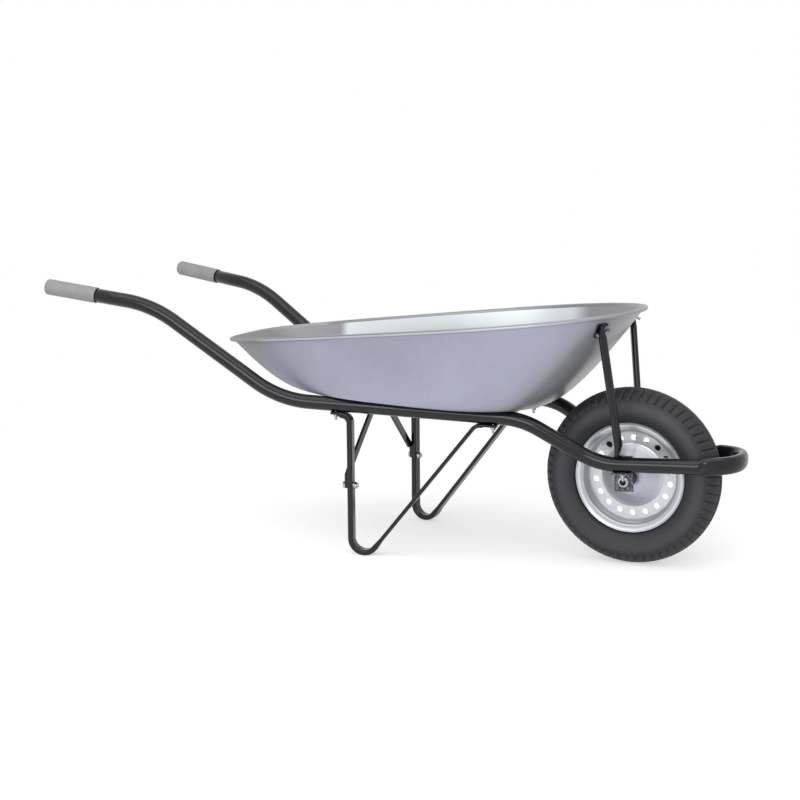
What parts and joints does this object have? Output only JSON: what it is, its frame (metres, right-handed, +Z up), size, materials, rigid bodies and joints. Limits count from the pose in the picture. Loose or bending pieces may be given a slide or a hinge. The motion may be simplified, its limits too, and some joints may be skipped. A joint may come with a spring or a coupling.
{
  "type": "wheelbarrow",
  "caption": "Garden wheelbarrow with a bent tube frame, a sheet metal tray, bent tube legs and a pneumatic wheel on a fixed axle.",
  "frame": {"origin": "centre of the bounding box on the ground plane, under the middle of the barrow's length", "axes": "+X forward towards the wheel, +Y to the barrow's left, +Z up"},
  "size_m": [1.5504, 0.5974, 0.5982],
  "materials": {
    "frame_paint": "satin",
    "grip_vinyl": "matte",
    "galvanised_tray": "satin",
    "zinc_plated": "satin",
    "wheel_steel": "satin",
    "tyre_rubber": "matte",
    "tube_rubber": "matte",
    "black_plastic": "matte"
  },
  "bodies": {
    "frame": {"frame_tube": "frame_paint", "grip_left": "grip_vinyl", "grip_right": "grip_vinyl", "tray": "galvanised_tray", "leg_left": "frame_paint", "leg_right": "frame_paint", "leg_brace": "frame_paint", "strut_left": "frame_paint", "strut_right": "frame_paint", "axle_bracket_left": "frame_paint", "axle_bracket_right": "frame_paint", "axle_tube": "zinc_plated", "axle_spacer_left": "black_plastic", "axle_spacer_right": "black_plastic", "tray_bolts": "zinc_plated", "tray_bolt_washers": "zinc_plated", "tray_bolt_nuts": "zinc_plated", "brace_bolts": "zinc_plated", "brace_bolt_washers": "zinc_plated", "brace_bolt_nuts": "zinc_plated", "bracket_bolts": "zinc_plated", "bracket_bolt_nuts": "zinc_plated", "strut_wall_bolts": "zinc_plated", "strut_wall_nuts": "zinc_plated"},
    "wheel": {"hub_tube": "wheel_steel", "hub_bush_left": "black_plastic", "hub_bush_right": "black_plastic", "rim_half_left": "wheel_steel", "rim_half_right": "wheel_steel", "tyre": "tyre_rubber", "inner_tube": "tube_rubber", "tube_valve": "tube_rubber", "valve_cap": "black_plastic"}
  },
  "joints": [
    {"name": "wheel_spin", "type": "hinge", "parent": "frame", "child": "wheel", "pos_m": [0.53, 0, 0.1914], "axis": [0, 1, 0], "continuous": true}
  ]
}
